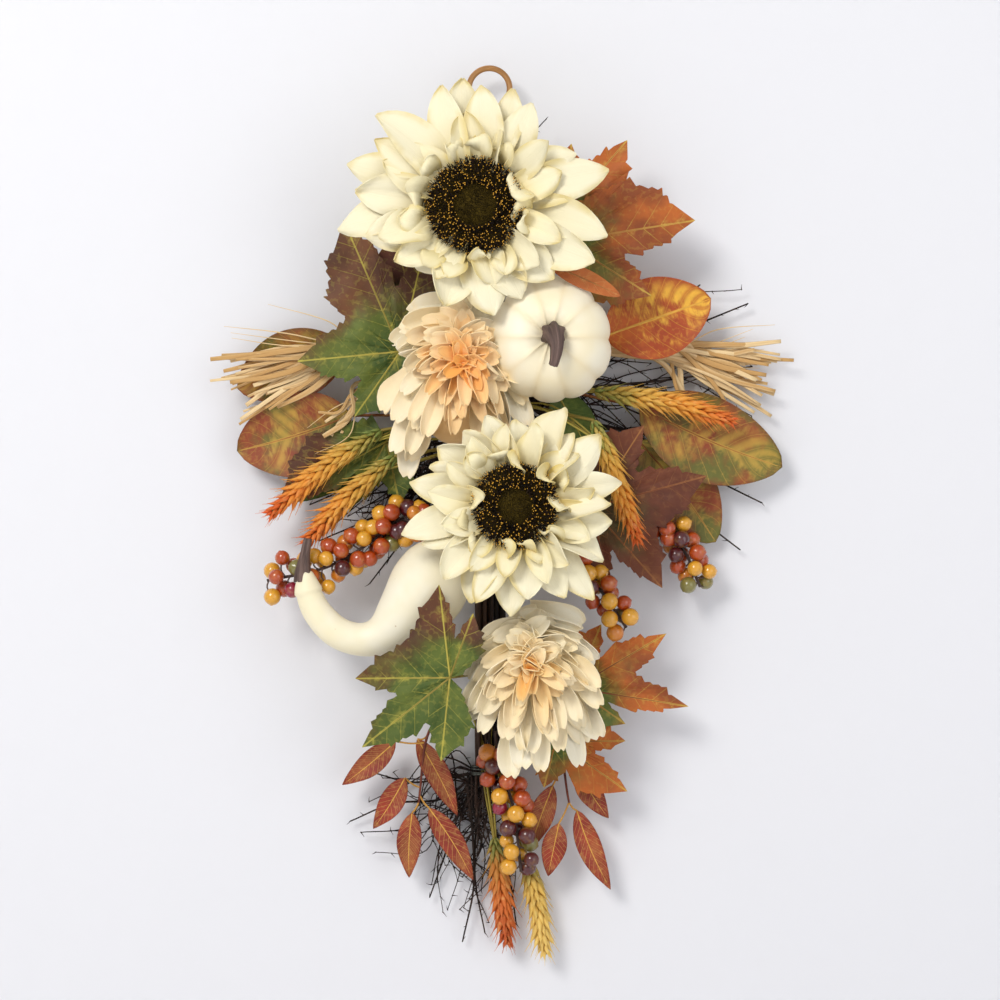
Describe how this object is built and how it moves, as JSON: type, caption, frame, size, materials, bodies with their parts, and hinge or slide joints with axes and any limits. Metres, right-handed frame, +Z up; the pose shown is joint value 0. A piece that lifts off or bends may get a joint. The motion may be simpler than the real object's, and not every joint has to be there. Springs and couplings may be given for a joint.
{
  "type": "door wreath swag",
  "caption": "Teardrop harvest swag for a door: flowers, a pumpkin, a gourd, berries, wheat and leaves wired to a twig core that swings from a wooden ring.",
  "frame": {"origin": "where the hook touches the ring, inside its top", "axes": "+Z up along the swag, -Y out of the door towards the viewer, +X to the right seen from the front"},
  "size_m": [0.3586, 0.1012, 0.5423],
  "materials": {
    "ring_wood": "bent wood with a thin clear coat",
    "wire": "brown wrapped florist wire",
    "twig": "dark dry bark",
    "cream_petal": "heat-set polyester petal, airbrushed yellow at its edges",
    "seed_disc": "black flocked bristles flecked with gold",
    "green_stem": "moulded stem over wire",
    "peach_petal": "heat-set polyester petal, peach to ivory",
    "ivory_petal": "heat-set polyester petal, ivory with an orange heart",
    "pumpkin_skin": "satin painted foam",
    "gourd_skin": "satin painted foam",
    "dry_stem": "matt moulded stem",
    "berry_skin": "waxy painted foam in gold, rust, maroon and olive",
    "wheat_ear": "moulded ear, green through gold to rust",
    "maple_leaf": "printed polyester, brown to green with yellow veins",
    "magnolia_leaf": "printed polyester, olive and rust with yellow flames",
    "mottled_leaf": "printed polyester, rust mottled with yellow",
    "green_leaf": "printed polyester, dull green",
    "willow_leaf": "printed polyester, brick red with gold veins",
    "raffia_straw": "dry raffia strips"
  },
  "bodies": {
    "ring": {"hanging_ring": "ring_wood"},
    "wreath": {"hanging_wire": "wire", "twig_core": "twig", "binding_wire_top": "wire", "binding_wire_middle": "wire", "binding_wire_bottom": "wire", "twigs_top": "twig", "twigs_left": "twig", "twigs_right": "twig", "twigs_bottom": "twig", "sunflower_upper_disc": "seed_disc", "sunflower_upper_petals": "cream_petal", "sunflower_upper_stem": "green_stem", "sunflower_lower_disc": "seed_disc", "sunflower_lower_petals": "cream_petal", "sunflower_lower_stem": "green_stem", "dahlia_upper_petals": "peach_petal", "dahlia_upper_stem": "green_stem", "dahlia_lower_petals": "ivory_petal", "dahlia_lower_stem": "green_stem", "pumpkin_body": "pumpkin_skin", "pumpkin_stem": "dry_stem", "pumpkin_pick": "dry_stem", "gourd_body": "gourd_skin", "gourd_stem": "dry_stem", "gourd_pick": "dry_stem", "berries_left": "berry_skin", "berries_middle": "berry_skin", "berries_right": "berry_skin", "berries_bottom": "berry_skin", "wheat_left_upper": "wheat_ear", "wheat_left_lower": "wheat_ear", "wheat_right_upper": "wheat_ear", "wheat_right_lower": "wheat_ear", "wheat_bottom_left": "wheat_ear", "wheat_bottom_right": "wheat_ear", "maple_upper_left": "maple_leaf", "maple_upper_left_dark": "maple_leaf", "maple_lower_left": "maple_leaf", "maple_top_right": "maple_leaf", "maple_upper_right": "maple_leaf", "folded_leaf": "maple_leaf", "maple_middle_left": "maple_leaf", "maple_middle_right": "maple_leaf", "maple_lower_right": "maple_leaf", "maple_bottom_right": "maple_leaf", "magnolia_left_upper": "magnolia_leaf", "magnolia_left_lower": "magnolia_leaf", "magnolia_right_upper": "magnolia_leaf", "magnolia_right_lower": "magnolia_leaf", "mottled_leaf": "mottled_leaf", "green_leaf_left": "green_leaf", "green_leaf_right": "green_leaf", "willow_left": "willow_leaf", "willow_right": "willow_leaf", "raffia_left": "raffia_straw", "raffia_tail": "raffia_straw", "raffia_right": "raffia_straw"}
  },
  "joints": [
    {"name": "wreath_swing", "type": "hinge", "parent": "ring", "child": "wreath", "pos_m": [0, 0, -0.02275], "axis": [-1, 0, 0], "range_deg": [0, 80]}
  ]
}
